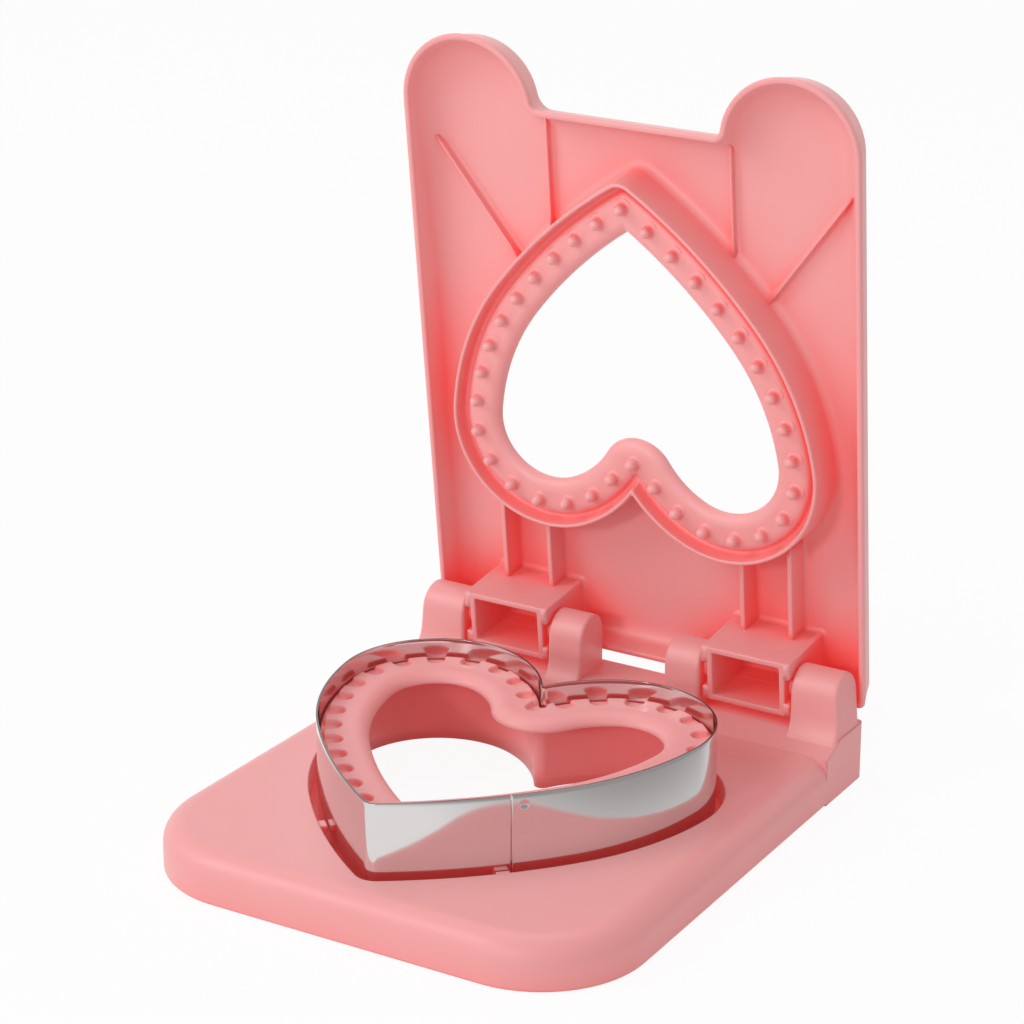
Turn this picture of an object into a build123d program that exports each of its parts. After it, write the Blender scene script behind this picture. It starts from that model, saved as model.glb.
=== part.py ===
"""Hinged heart-shaped sandwich cutter and sealer, with its lid standing open."""

import os
from math import asin, atan2, cos, degrees, hypot, radians, sin, sqrt, tan

from build123d import *

# Driving dimensions, in millimetres and degrees

# Base tray: a thin moulded shell, open underneath
base_length = 132.6
base_back_width = 114.4
base_front_width = 118.6
base_front_corner = 25.0
base_back_corner = 1.5
base_foot_round = 0.8
plate_top = 11.5
plate_skin = 2.0
plate_edge_round = 5.4
skirt_wall = 2.2

# Hinge beam and lugs along the back of the base
beam_top = 14.0
beam_depth = 12.5
ramp_depth = 7.0
axis_inset = 7.6
axis_height = 23.0
lug_radius = 5.4
lug_flare_radius = 6.6
lug_edge_round = 0.8
lug_side_draft = 5.0
inner_lug_start = 11.2
inner_lug_end = 20.4
outer_lug_start = 44.4
stub_radius = 2.95
stub_running_gap = 0.05

# Heart: outline of the steel band, as arcs that leave the apex and turn to the cleft
heart_half_width = 46.3
heart_apex_inset = 10.3
heart_join_turns = (32.2, 51.7, 82.9, 205.5)
heart_radius_shares = (2.817, 1.387, 0.4946, 0.6976)
apex_round = 3.0
smallest_corner = 0.6

# Pocket in the base that the band and the seal ring stand in
pocket_gap = 2.1
pocket_wall = 1.6
ledge_top = 6.0
ledge_thickness = 2.2
tab_width = 3.0
tab_drop = 0.4
tab_height = 1.6
tab_band_gap = 0.3
tab_share = 0.2

# Steel cutter band
band_top = 28.5
band_thickness = 0.5
seam_gap = 0.3
seam_overlap = 7.0
tongue_drop = 1.2
lap_gap = 0.1
seam_share = 0.209
weld_radius = 1.1
weld_depth = 0.2
weld_side_step = 2.9
weld_drops = (2.4, 9.6)

# Seal ring inside the band
seal_gap = 0.3
seal_top = 24.6
seal_skirt = 1.1
seal_roof = 2.7
seal_hole_inset = 11.8
crown_round = 2.5
step_width = 0.7
notch_width = 4.0
notch_depth = 1.2
pit_radius = 1.8
pit_depth = 1.7

# Studs of the press ring, which meet the notches of the seal ring
stud_steps_per_side = 17
stud_inset = 4.2
stud_radius = 1.15
stud_reach = 1.2

# Lid: a shallow tray, given here as it lies when closed
lid_hinge_width = 115.4
lid_ear_width = 116.6
lid_top_reach = 129.0
lid_ear_reach = 127.6
lid_ear_radius = 17.2
lid_hinge_overhang = 6.6
lid_hinge_corner = 1.6
lid_back_corner = 3.6
lid_nook_round = 2.0
lid_draft = 16.0
rim_gap = 0.3
rim_round = 0.5
lid_wall = 1.5
lid_skin = 1.8
lid_recess = 7.6
lid_back_round = 3.4
lid_floor_round = 3.5

# Press ring on the lid
lip_drop = 11.1
lip_clearance = 0.8
lip_thickness = 1.15
groove_headroom = 0.4
lip_round = 0.5
press_recess = 2.6
press_web = 1.8
press_hole_inset = 9.5
press_edge_round = 1.6

# Hinge boxes on the lid
box_inner_x = 22.3
box_outer_x = 42.5
box_wall = 1.4
box_front = 4.8
box_up = 7.2
box_back_wall = 2.0
pad_thickness = 1.4
pad_slot_neck = 5.5
pad_slot_mouth = 6.6
lug_side_gap = 0.2

# Stiffening ribs inside the lid
rib_thickness = 1.2
low_rib_x = (26.1, 38.6)
low_rib_height = 6.8
high_rib_x = 23.7
high_rib_height = 1.9
slant_rib_x = (54.4, 33.2)
slant_rib_reach = (118.2, 90.1)

# Pose of the lid
closed_turn = 83.8

# Room for cuts to run past the faces they open
overrun = 1.0

# Places that follow from the sizes above

axis_y = -axis_inset
apex_y = heart_apex_inset - base_length
rim_z = axis_height + lug_radius + rim_gap
lid_inner_z = rim_z + lid_recess
lid_outer_z = lid_inner_z + lid_skin
lip_z = lid_inner_z - lip_drop
press_z = lip_z + press_recess
seal_outer = band_thickness + seal_gap
seal_inner = seal_outer + seal_skirt
groove_z = band_top + groove_headroom


def heart_arcs():
    """Centre, radius and two turns of each arc of the right half, apex at the origin."""
    x, y = 0.0, 0.0
    centres = []
    for turn, radius in zip(heart_join_turns, heart_radius_shares):
        if centres:
            old_x, old_y, old_radius = centres[-1]
            x = old_x + old_radius * sin(radians(turn))
            y = old_y - old_radius * cos(radians(turn))
        centres.append((x - radius * sin(radians(turn)), y + radius * cos(radians(turn)), radius))
    widest_x, _, widest_radius = centres[2]
    scale = heart_half_width / (widest_x + widest_radius)
    last_x, _, last_radius = centres[3]
    turns = heart_join_turns + (180 + degrees(asin(last_x / last_radius)),)
    return [
        (cx * scale, cy * scale, radius * scale, turns[n], turns[n + 1])
        for n, (cx, cy, radius) in enumerate(centres)
    ]


def arc_point(centre_x, centre_y, radius, turn):
    """Point of a left-turning arc where it travels in the direction turn."""
    return (centre_x + radius * sin(radians(turn)), centre_y - radius * cos(radians(turn)))


def heart_track(grow):
    """Arcs of the right half moved outward by grow, trimmed to the line of symmetry."""
    arcs = [[cx, cy, radius + grow, start, end] for cx, cy, radius, start, end in heart_arcs()]
    first, last = arcs[0], arcs[-1]
    first[3] = -degrees(asin(first[0] / first[2]))
    if grow >= 0:
        last[4] = 180 + degrees(asin(last[0] / last[2]))
    return arcs


def heart_cleft():
    """The sharp inner corner of the band's outline."""
    cx, cy, radius, _, end = heart_arcs()[-1]
    return arc_point(cx, cy, radius, end)


def heart(grow):
    """Face of the heart with its outline moved outward by grow, in the place of the base."""
    with BuildSketch() as sketch:
        with BuildLine():
            for cx, cy, radius, start, end in heart_track(grow):
                middle = (start + end) / 2
                points = [arc_point(cx, cy, radius, turn) for turn in (start, middle, end)]
                ThreePointArc(*points)
            if grow < 0:
                cleft_x, cleft_y = heart_cleft()
                points = [
                    arc_point(cleft_x, cleft_y, grow, turn)
                    for turn in (end, (end + 180) / 2, 180)
                ]
                ThreePointArc(*points)
            mirror(about=Plane.YZ)
        make_face()
        on_line = sketch.vertices().filter_by_position(Axis.X, -smallest_corner, smallest_corner)
        corner = max(apex_round + grow, smallest_corner)
        fillet(on_line.sort_by(Axis.Y)[0], corner)
        if grow >= 0:
            on_line = sketch.vertices().filter_by_position(Axis.X, -smallest_corner / 2, smallest_corner / 2)
            fillet(on_line.sort_by(Axis.Y)[-1], smallest_corner)
    return Pos(0, apex_y) * sketch.sketch


def heart_place(share, grow):
    """Point and direction of travel at a share of the right half's track, from the apex."""
    arcs = heart_track(grow)
    lengths = [radius * radians(end - start) for _, _, radius, start, end in arcs]
    cleft_x, cleft_y = heart_cleft()
    last_turn = arcs[-1][4]
    lengths.append(-grow * radians(last_turn - 180) if grow < 0 else 0)
    left = share * sum(lengths)
    for (cx, cy, radius, start, _), length in zip(arcs, lengths):
        if left <= length:
            turn = start + degrees(left / radius)
            x, y = arc_point(cx, cy, radius, turn)
            return x, y + apex_y, turn
        left -= length
    turn = last_turn - degrees(left / -grow)
    x, y = arc_point(cleft_x, cleft_y, grow, turn)
    return x, y + apex_y, turn


def stud_places():
    """Places of the studs: one at the apex, one at the cleft and pairs between."""
    places = []
    for step in range(stud_steps_per_side + 1):
        x, y, turn = heart_place(step / stud_steps_per_side, -stud_inset)
        if step in (0, stud_steps_per_side):
            places.append((0, y, 0))
        else:
            places.append((x, y, turn))
            places.append((-x, y, -turn))
    return places


def slab(face, low, high):
    """Face of the XY plane as a solid between two heights."""
    return Pos(0, 0, low) * extrude(face, high - low)


def block(x, y, z):
    """Box between pairs of low and high coordinates."""
    size = [pair[1] - pair[0] for pair in (x, y, z)]
    middle = [(pair[0] + pair[1]) / 2 for pair in (x, y, z)]
    return Pos(*middle) * Box(*size)


def both_sides(solid):
    """Solid and its mirror image about the middle plane."""
    return [solid, solid.mirror(Plane.YZ)]


def base_outline(inset):
    """Plan of the base, wider in front, drawn in all round by inset."""
    back = base_back_width / 2
    front = base_front_width / 2
    face = make_face(Polyline(
        (-back, 0), (back, 0), (front, -base_length), (-front, -base_length), close=True
    ))
    corners = face.vertices().sort_by(Axis.Y)
    face = fillet(corners[:2], base_front_corner)
    face = fillet(face.vertices().sort_by(Axis.Y)[-2:], base_back_corner)
    return offset(face, -inset) if inset else face


def side_prism(points, x_low, x_high):
    """Closed outline of (y, z) edges carried from x_low to x_high."""
    face = make_face(points)
    return Pos(x_low, 0, 0) * extrude(face, x_high - x_low, dir=(1, 0, 0))


def lug(x_low, x_high):
    """One hinge lug: round top about the axis, and a foot that flares forward."""
    front = axis_y - lug_radius
    rear = axis_y + lug_radius
    flare_top = plate_top + lug_flare_radius
    foot = front - lug_flare_radius
    knee = lug_flare_radius * (1 - sqrt(0.5))
    edges = [
        Line((0, rear, plate_top - plate_skin), (0, rear, axis_height)),
        ThreePointArc((0, rear, axis_height), (0, axis_y, axis_height + lug_radius), (0, front, axis_height)),
        Line((0, front, axis_height), (0, front, flare_top)),
        ThreePointArc(
            (0, front, flare_top),
            (0, front - knee, plate_top + knee),
            (0, foot, plate_top),
        ),
        Line((0, foot, plate_top), (0, foot, plate_top - plate_skin)),
        Line((0, foot, plate_top - plate_skin), (0, rear, plate_top - plate_skin)),
    ]
    solid = side_prism(edges, x_low, x_high)
    sharp = solid.faces().filter_by(Axis.X).edges().filter_by(lambda edge: (edge @ 0.5).Z > plate_top)
    upper = sharp.filter_by(lambda edge: (edge @ 0.5).Y < rear)
    return fillet(upper, lug_edge_round)


def outer_lug():
    """Outer lug, whose outer side rises from the base's side and draws in towards its top."""
    side = base_back_width / 2
    height = axis_height + lug_radius - plate_top
    draw_in = height * tan(radians(lug_side_draft))
    block_of_lug = lug(outer_lug_start, side + lug_edge_round)
    low, high = plate_top - plate_skin - overrun, plate_top + height + overrun
    waste = make_face(Polyline(
        (side, 0, low), (side, 0, plate_top),
        (side - draw_in, 0, plate_top + height), (side - draw_in, 0, high),
        (side + lug_radius, 0, high), (side + lug_radius, 0, low), close=True
    ))
    drafted = block_of_lug - extrude(waste, beam_depth + ramp_depth + lug_radius, dir=(0, -1, 0))
    outside = side - draw_in - overrun
    crest = drafted.edges().filter_by(lambda edge: (edge @ 0.5).Z > axis_height and (edge @ 0.5).X > outside)
    return fillet(crest, lug_edge_round)


def stub(x_low, x_high):
    """Round hinge stub along the axis."""
    length = x_high - x_low
    return Pos(x_low + length / 2, axis_y, axis_height) * Rot(0, 90, 0) * Cylinder(stub_radius, length)


def base_tray():
    """Shell with pocket, hinge beam, lugs and stubs."""
    plan = base_outline(0)
    plate = slab(plan, 0, plate_top)
    rim = plate.edges().filter_by_position(Axis.Z, plate_top, plate_top).sort_by(Axis.Y)[:-3]
    plate = fillet(rim, plate_edge_round)
    foot = plate.edges().filter_by_position(Axis.Z, 0, 0)
    plate = fillet(foot, base_foot_round)

    ramp_start = -beam_depth - ramp_depth
    profile = Polyline(
        (0, 0, 0), (0, 0, beam_top), (0, -beam_depth, beam_top), (0, ramp_start, plate_top),
        (0, ramp_start, 0), close=True
    )
    half = base_front_width / 2
    beam = side_prism(profile, -half, half) & slab(plan, 0, beam_top)
    body = plate + beam

    lugs = both_sides(lug(inner_lug_start, inner_lug_end)) + both_sides(outer_lug())
    stub_reach = pad_thickness + (box_inner_x - pad_thickness - inner_lug_end) - lug_side_gap
    stubs = both_sides(stub(inner_lug_end - overrun, inner_lug_end + stub_reach))
    stubs += both_sides(stub(outer_lug_start - stub_reach, outer_lug_start + overrun))
    body = body + lugs + stubs

    under_plate = plate_top - plate_skin
    ledge_foot = ledge_top - ledge_thickness
    hollow = slab(base_outline(skirt_wall), -overrun, under_plate)
    hollow -= slab(heart(pocket_gap + pocket_wall), ledge_foot, under_plate)
    body -= hollow
    body -= slab(heart(pocket_gap), ledge_top, plate_top + overrun)
    body -= slab(heart(-seal_inner), -overrun, ledge_top + overrun)

    x, y, turn = heart_place(tab_share, pocket_gap)
    top = plate_top - tab_drop
    reach = pocket_gap - tab_band_gap
    tab = block((-tab_width / 2, tab_width / 2), (0, reach + overrun), (top - tab_height, top))
    tab = Pos(x, y, 0) * Rot(0, 0, turn) * Pos(0, -overrun, 0) * tab
    return body + both_sides(tab)


def seam_place():
    """Place on the right limb where the band's ends meet, turned along the outline."""
    x, y, turn = heart_place(seam_share, 0)
    return Pos(x, y, 0) * Rot(0, 0, turn)


def lap(gap):
    """Tongue behind the seam, grown by a gap on its inner side and at its ends."""
    depth = 2 * band_thickness + gap
    near_seam = seam_place() * block(
        (-seam_overlap / 2 - gap, seam_overlap + gap), (0, depth + overrun), (ledge_top, band_top)
    )
    return slab(heart(-band_thickness) - heart(-depth), ledge_top, band_top - tongue_drop) & near_seam


def cutter_band():
    """Polished strip bent to the heart, its ends lapped and spot welded."""
    band = slab(heart(0) - heart(-band_thickness), ledge_top, band_top)
    slit = seam_place() * block(
        (-seam_gap / 2, seam_gap / 2), (-overrun, band_thickness + overrun),
        (ledge_top - overrun, band_top + overrun)
    )
    band = band - slit + lap(0)
    ball = (weld_radius ** 2 + weld_depth ** 2) / (2 * weld_depth)
    for drop in weld_drops:
        band -= seam_place() * Pos(weld_side_step, weld_depth - ball, band_top - drop) * Sphere(ball)
    return band


def seal_ring():
    """Ring that the bread is pressed on: a skirt inside the band and a notched roof."""
    hole = slab(heart(-seal_hole_inset), ledge_top, seal_top)
    roof = slab(heart(-seal_outer), seal_top - seal_roof, seal_top) - hole
    crown = [
        item for item in roof.edges().filter_by_position(Axis.Z, seal_top, seal_top)
        if hole.distance_to(item @ 0.5) < smallest_corner
    ]
    roof = fillet(crown, crown_round)
    skirt = slab(heart(-seal_outer) - heart(-seal_inner), ledge_top, seal_top - seal_roof / 2)
    ring = roof + skirt - lap(lap_gap)
    step = heart(-seal_outer + overrun) - heart(-seal_outer - step_width)
    ring -= slab(step, seal_top - notch_depth, seal_top + overrun)

    length = stud_inset - seal_outer
    notch = block(
        (-notch_width / 2, notch_width / 2), (-length - overrun, 0),
        (seal_top - notch_depth, seal_top + overrun)
    )
    middle = seal_top - notch_depth / 2 + overrun / 2
    notch += Pos(0, 0, middle) * Cylinder(notch_width / 2, notch_depth + overrun)
    dip = pit_depth - notch_depth
    ball = (pit_radius ** 2 + dip ** 2) / (2 * dip)
    pit = Pos(0, 0, seal_top - pit_depth + ball) * Sphere(ball)
    for x, y, turn in stud_places():
        place = Pos(x, y, 0) * Rot(0, 0, turn)
        ring -= place * notch
        ring -= place * pit
    return ring


def lid_plan(side_inset, hinge_inset, corner, height):
    """Plan of the closed lid at a height: hinge side behind, two round ears in front."""
    radius = lid_ear_radius - side_inset
    ear_x = lid_ear_width / 2 - lid_ear_radius
    ear_y = axis_y - lid_ear_reach
    back_x = lid_hinge_width / 2 - side_inset
    back_y = axis_y + lid_hinge_overhang - hinge_inset
    away_x, away_y = ear_x - back_x, ear_y - back_y
    reach = hypot(away_x, away_y)
    swing = atan2(away_y, away_x) + asin(radius / reach)
    run = sqrt(reach ** 2 - radius ** 2)
    touch = (back_x + run * cos(swing), back_y + run * sin(swing))
    top_y = axis_y - lid_top_reach + side_inset
    with BuildSketch() as sketch:
        with BuildLine():
            Polyline(
                (-back_x, back_y), (back_x, back_y), touch, (ear_x, ear_y), (ear_x, top_y),
                (-ear_x, top_y), (-ear_x, ear_y), (-touch[0], touch[1]), close=True
            )
        make_face()
        with Locations((ear_x, ear_y), (-ear_x, ear_y)):
            Circle(radius)
        fillet(sketch.vertices().sort_by(Axis.Y)[-2:], corner)
        nooks = sketch.vertices().filter_by_position(
            Axis.Y, top_y - smallest_corner / 2, top_y + smallest_corner / 2
        )
        fillet(nooks.filter_by_position(Axis.X, -ear_x, ear_x), lid_nook_round + side_inset)
    return Pos(0, 0, height) * sketch.sketch


def lid_envelope():
    """Outside of the lid's tray, whose sides and ears draw in towards its back."""
    draw_in = (lid_outer_z - rim_z) * tan(radians(lid_draft))
    low = lid_plan(0, 0, lid_hinge_corner, rim_z)
    high = lid_plan(draw_in, 0, lid_back_corner, lid_outer_z)
    outside = loft([low.face(), high.face()], ruled=True)
    return fillet(outside.edges().filter_by_position(Axis.Z, lid_outer_z, lid_outer_z), lid_back_round)


def lid_hollow():
    """Inside of the lid's tray."""
    draw_in = lid_recess * tan(radians(lid_draft))
    low = lid_plan(lid_wall, lid_wall, lid_hinge_corner, rim_z)
    high = lid_plan(lid_wall + draw_in, lid_wall, lid_back_corner, lid_inner_z)
    inside = loft([low.face(), high.face()], ruled=True)
    return fillet(inside.edges().filter_by_position(Axis.Z, lid_inner_z, lid_inner_z), lid_floor_round)


def press_ring():
    """Heart-shaped tube that rises from the lid, with its lip, groove, web and studs."""
    lip_outer = lip_clearance + lip_thickness
    groove_floor = groove_z + press_web
    ring = slab(heart(lip_clearance) - heart(-press_hole_inset), press_z, press_z + press_web)
    hole = slab(heart(-press_hole_inset), press_z, press_z + press_web)
    edge = [
        item for item in ring.edges().filter_by_position(Axis.Z, press_z, press_z)
        if hole.distance_to(item @ 0.5) < smallest_corner
    ]
    ring = fillet(edge, press_edge_round)
    ring += slab(heart(lip_clearance) - heart(-seal_outer - press_web), press_z, groove_floor)
    ring -= slab(heart(lip_clearance) - heart(-seal_outer), press_z - overrun, groove_z)
    lip = slab(heart(lip_outer) - heart(lip_clearance), lip_z, lid_outer_z)
    ring += fillet(lip.edges().filter_by_position(Axis.Z, lip_z, lip_z), lip_round)
    shank = press_recess + stud_reach - stud_radius
    for x, y, _ in stud_places():
        root = press_web / 2
        stud = Pos(x, y, press_z + (root - shank) / 2) * Cylinder(stud_radius, root + shank)
        ring += stud + Pos(x, y, press_z - shank) * Sphere(stud_radius)
    return ring


def hinge_box():
    """Hollow hinge box on the right, with a slotted pad at each side."""
    y_up = axis_y - box_up
    y_down = axis_y + lid_hinge_overhang
    front = axis_height - box_front
    back = lid_inner_z + lid_skin / 2
    shell = block((box_inner_x - pad_thickness, box_outer_x + pad_thickness), (y_up, y_down), (front, back))
    seat = stub_radius + stub_running_gap
    mouth = Polyline(
        (0, axis_y - pad_slot_neck / 2, axis_height), (0, axis_y - pad_slot_mouth / 2, front - overrun),
        (0, axis_y + pad_slot_mouth / 2, front - overrun), (0, axis_y + pad_slot_neck / 2, axis_height),
        close=True
    )
    for low, high in (
        (box_inner_x - pad_thickness, box_inner_x), (box_outer_x, box_outer_x + pad_thickness)
    ):
        shell -= Pos((low + high) / 2, axis_y, axis_height) * Rot(0, 90, 0) * Cylinder(seat, high - low)
        shell -= side_prism(mouth, low, high)
    return shell - block(
        (box_inner_x + box_wall, box_outer_x - box_wall), (y_up + box_wall, y_down - box_wall),
        (front - overrun, lid_inner_z - box_back_wall)
    )


def ribs():
    """Stiffening ribs between the press ring, the hinge boxes and the lid's walls."""
    half = rib_thickness / 2
    anchored = lid_inner_z + lid_skin / 2
    found = []
    ring_reach = axis_y - apex_y
    for x in low_rib_x:
        low = block(
            (x - half, x + half), (axis_y - ring_reach / 2, axis_y - box_up + box_wall),
            (lid_inner_z - low_rib_height, anchored)
        )
        found += both_sides(low)
    high = block(
        (high_rib_x - half, high_rib_x + half), (axis_y - lid_top_reach, axis_y - ring_reach / 2),
        (lid_inner_z - high_rib_height, anchored)
    )
    found += both_sides(high)
    start = (slant_rib_x[0], axis_y - slant_rib_reach[0])
    end = (slant_rib_x[1], axis_y - slant_rib_reach[1])
    run = hypot(end[0] - start[0], end[1] - start[1])
    bearing = degrees(atan2(end[1] - start[1], end[0] - start[0]))
    slant = block((0, run), (-half, half), (lid_inner_z - high_rib_height, anchored))
    found += both_sides(Pos(start[0], start[1], 0) * Rot(0, 0, bearing) * slant)
    return found


def lid_closed():
    """The whole lid moulding as it lies on the base."""
    envelope = lid_envelope()
    shell = envelope - lid_hollow()
    rim = shell.edges().filter_by_position(Axis.Z, rim_z, rim_z)
    shell = fillet(rim, rim_round)
    fittings = both_sides(hinge_box()) + ribs()
    room = envelope + slab(lid_plan(0, 0, lid_hinge_corner, 0), 0, rim_z)
    shell += [fitting & room for fitting in fittings]
    shell -= slab(heart(lip_clearance + lip_thickness / 2), 0, lid_outer_z + overrun)
    return shell + press_ring()


def lid():
    """The lid turned open about the hinge axis."""
    axis_place = Pos(0, axis_y, axis_height)
    return axis_place * Rot(-closed_turn, 0, 0) * axis_place.inverse() * lid_closed()


def write_parts():
    """Write each piece to its own file, with the whole part centred over its origin."""
    pieces = {
        "base_tray": base_tray(),
        "cutter_band": cutter_band(),
        "seal_ring": seal_ring(),
        "lid": lid(),
    }
    boxes = [piece.bounding_box() for piece in pieces.values()]
    low = min(box.min.Y for box in boxes)
    high = max(box.max.Y for box in boxes)
    shift = Pos(0, -(low + high) / 2, 0)
    os.makedirs("parts", exist_ok=True)
    for name, piece in pieces.items():
        solids = (shift * piece).solids()
        export_step(solids[0] if len(solids) == 1 else Compound(solids), f"parts/{name}.step")
        print(name, len(solids), "solids", round(piece.volume), "mm3")
    print("hinge axis y", axis_y - (low + high) / 2, "z", axis_height)


write_parts()
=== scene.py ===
"""Heart-shaped sandwich cutter and sealer, standing open on a white studio floor."""

import bmesh
import bpy
import numpy as np
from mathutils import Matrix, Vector


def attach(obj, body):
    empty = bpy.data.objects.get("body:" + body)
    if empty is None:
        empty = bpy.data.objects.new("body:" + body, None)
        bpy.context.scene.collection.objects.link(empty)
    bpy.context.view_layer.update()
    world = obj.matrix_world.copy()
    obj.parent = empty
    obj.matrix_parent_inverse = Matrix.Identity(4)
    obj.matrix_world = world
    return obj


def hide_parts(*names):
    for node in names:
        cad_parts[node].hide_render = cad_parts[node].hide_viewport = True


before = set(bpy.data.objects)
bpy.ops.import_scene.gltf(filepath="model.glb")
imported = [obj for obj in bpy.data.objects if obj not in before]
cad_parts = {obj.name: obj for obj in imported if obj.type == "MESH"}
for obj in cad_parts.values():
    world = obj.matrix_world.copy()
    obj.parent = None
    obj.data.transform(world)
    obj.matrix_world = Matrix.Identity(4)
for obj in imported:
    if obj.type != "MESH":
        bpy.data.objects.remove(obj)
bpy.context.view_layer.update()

# Studio
# A white floor under a white sky, a large soft lamp high on the left in front, weaker ones in
# front and overhead, and one aimed at the open lid. The camera stands to the right of the press.

camera_place = Vector((0.35775, -0.59230, 0.33608))
camera_view = Vector((-0.48374, 0.79963, -0.35576))
film_width, focal_length, film_shift = 36.0, 118.58, 0.00855
clip_reach = (0.01, 50.0)
camera = bpy.data.objects.new("camera", bpy.data.cameras.new("camera"))
camera.location = camera_place
camera.rotation_euler = camera_view.to_track_quat("-Z", "Y").to_euler()
camera.data.sensor_width = film_width
camera.data.lens = focal_length
camera.data.shift_y = film_shift
camera.data.clip_start, camera.data.clip_end = clip_reach
bpy.context.scene.collection.objects.link(camera)
bpy.context.scene.camera = camera


def shown_ray(nodes, links):
    """1 for rays of the camera, of reflections and of clear materials, 0 for rays that carry light."""
    path = nodes.new("ShaderNodeLightPath")
    shown = path.outputs["Is Camera Ray"]
    for other in ("Is Glossy Ray", "Is Transmission Ray"):
        most = nodes.new("ShaderNodeMath")
        most.operation = "MAXIMUM"
        links.new(shown, most.inputs[0])
        links.new(path.outputs[other], most.inputs[1])
        shown = most.outputs[0]
    return shown


floor_colour = (0.97, 0.97, 0.97, 1.0)
floor_glow = 0.93
# Painted shade seen in the steel: for reflection rays only, the floor's glow darkens from the first of
# these x to the second, by these strengths, as if the studio were darker on the right.
reflected_floor_shade = (0.04, 0.11, 1.0, 0.35)
floor_half = 3.0
floor_mesh = bpy.data.meshes.new("floor")
floor_mesh.from_pydata(
    [(x * floor_half, y * floor_half, 0) for x, y in ((-1, -1), (1, -1), (1, 1), (-1, 1))],
    [], [(0, 1, 2, 3)],
)
floor = bpy.data.objects.new("floor", floor_mesh)
bpy.context.scene.collection.objects.link(floor)
floor_white = bpy.data.materials.new("floor_white")
floor_white.use_nodes = True
nodes, links = floor_white.node_tree.nodes, floor_white.node_tree.links
nodes.clear()
paper = nodes.new("ShaderNodeBsdfDiffuse")
paper.inputs["Color"].default_value = floor_colour
glow = nodes.new("ShaderNodeEmission")
across = nodes.new("ShaderNodeSeparateXYZ")
links.new(nodes.new("ShaderNodeTexCoord").outputs["Object"], across.inputs["Vector"])
falloff = nodes.new("ShaderNodeMapRange")
falloff.interpolation_type = "SMOOTHSTEP"
for socket, value in zip(("From Min", "From Max", "To Min", "To Max"), reflected_floor_shade):
    falloff.inputs[socket].default_value = value
links.new(across.outputs["X"], falloff.inputs["Value"])
# Painted reflection: only glossy rays see the darkened floor, while the camera sees it evenly white.
mirrored = nodes.new("ShaderNodeMix")
mirrored.inputs["A"].default_value = 1.0
links.new(falloff.outputs["Result"], mirrored.inputs["B"])
links.new(nodes.new("ShaderNodeLightPath").outputs["Is Glossy Ray"], mirrored.inputs["Factor"])
links.new(mirrored.outputs["Result"], glow.inputs["Strength"])
share = nodes.new("ShaderNodeMath")
share.operation = "MULTIPLY"
share.inputs[1].default_value = floor_glow
links.new(shown_ray(nodes, links), share.inputs[0])
mixed = nodes.new("ShaderNodeMixShader")
links.new(share.outputs[0], mixed.inputs[0])
links.new(paper.outputs[0], mixed.inputs[1])
links.new(glow.outputs[0], mixed.inputs[2])
links.new(mixed.outputs[0], nodes.new("ShaderNodeOutputMaterial").inputs["Surface"])
floor_mesh.materials.append(floor_white)

sky_light = 0.60
sky_tint = (1.0, 0.81, 0.79, 1.0)
world = bpy.data.worlds.new("studio")
bpy.context.scene.world = world
world.use_nodes = True
nodes, links = world.node_tree.nodes, world.node_tree.links
nodes.clear()
sky = nodes.new("ShaderNodeBackground")
strength = nodes.new("ShaderNodeMix")
strength.inputs["A"].default_value = sky_light
strength.inputs["B"].default_value = 1.0
links.new(shown_ray(nodes, links), strength.inputs["Factor"])
links.new(strength.outputs["Result"], sky.inputs["Strength"])
warmth = nodes.new("ShaderNodeMix")
warmth.data_type = "RGBA"
warmth.inputs["A"].default_value = sky_tint
warmth.inputs["B"].default_value = (1.0, 1.0, 1.0, 1.0)
links.new(strength.inputs["Factor"].links[0].from_socket, warmth.inputs["Factor"])
links.new(warmth.outputs["Result"], sky.inputs["Color"])
links.new(sky.outputs[0], nodes.new("ShaderNodeOutputWorld").inputs["Surface"])

lamps = (
    ("key", (-0.80, -0.75, 0.85), 0.70, 4.7),
    ("fill", (0.20, -1.20, 0.45), 0.90, 1.4),
    ("top", (-0.20, 0.30, 1.1), 0.80, 2.0),
)
aim = Vector((0.0, 0.0, 0.05))
for name, place, size, power in lamps:
    lamp = bpy.data.lights.new(name, "AREA")
    lamp.shape = "DISK"
    lamp.size = size
    lamp.energy = power
    holder = bpy.data.objects.new(name, lamp)
    holder.location = place
    holder.rotation_euler = (aim - Vector(place)).to_track_quat("-Z", "Y").to_euler()
    bpy.context.scene.collection.objects.link(holder)

lid_lamp_power, lid_lamp_cone, lid_lamp_blend, lid_lamp_radius = 16.5, 0.19, 0.7, 0.12
lid_lamp_place, lid_lamp_aim = Vector((-0.10, -1.10, 0.50)), Vector((0.0, 0.055, 0.092))
lid_lamp = bpy.data.lights.new("lid_lamp", "SPOT")
lid_lamp.energy = lid_lamp_power
lid_lamp.spot_size = lid_lamp_cone
lid_lamp.spot_blend = lid_lamp_blend
lid_lamp.shadow_soft_size = lid_lamp_radius
holder = bpy.data.objects.new("lid_lamp", lid_lamp)
holder.location = lid_lamp_place
holder.rotation_euler = (lid_lamp_aim - lid_lamp_place).to_track_quat("-Z", "Y").to_euler()
bpy.context.scene.collection.objects.link(holder)

bpy.context.scene.view_settings.view_transform = "Standard"

# Base tray
# One injection moulding in coral-pink plastic with a satin surface: a thin plate with a skirt,
# a heart-shaped pocket, and a beam with four hinge lugs along its back edge.


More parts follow.
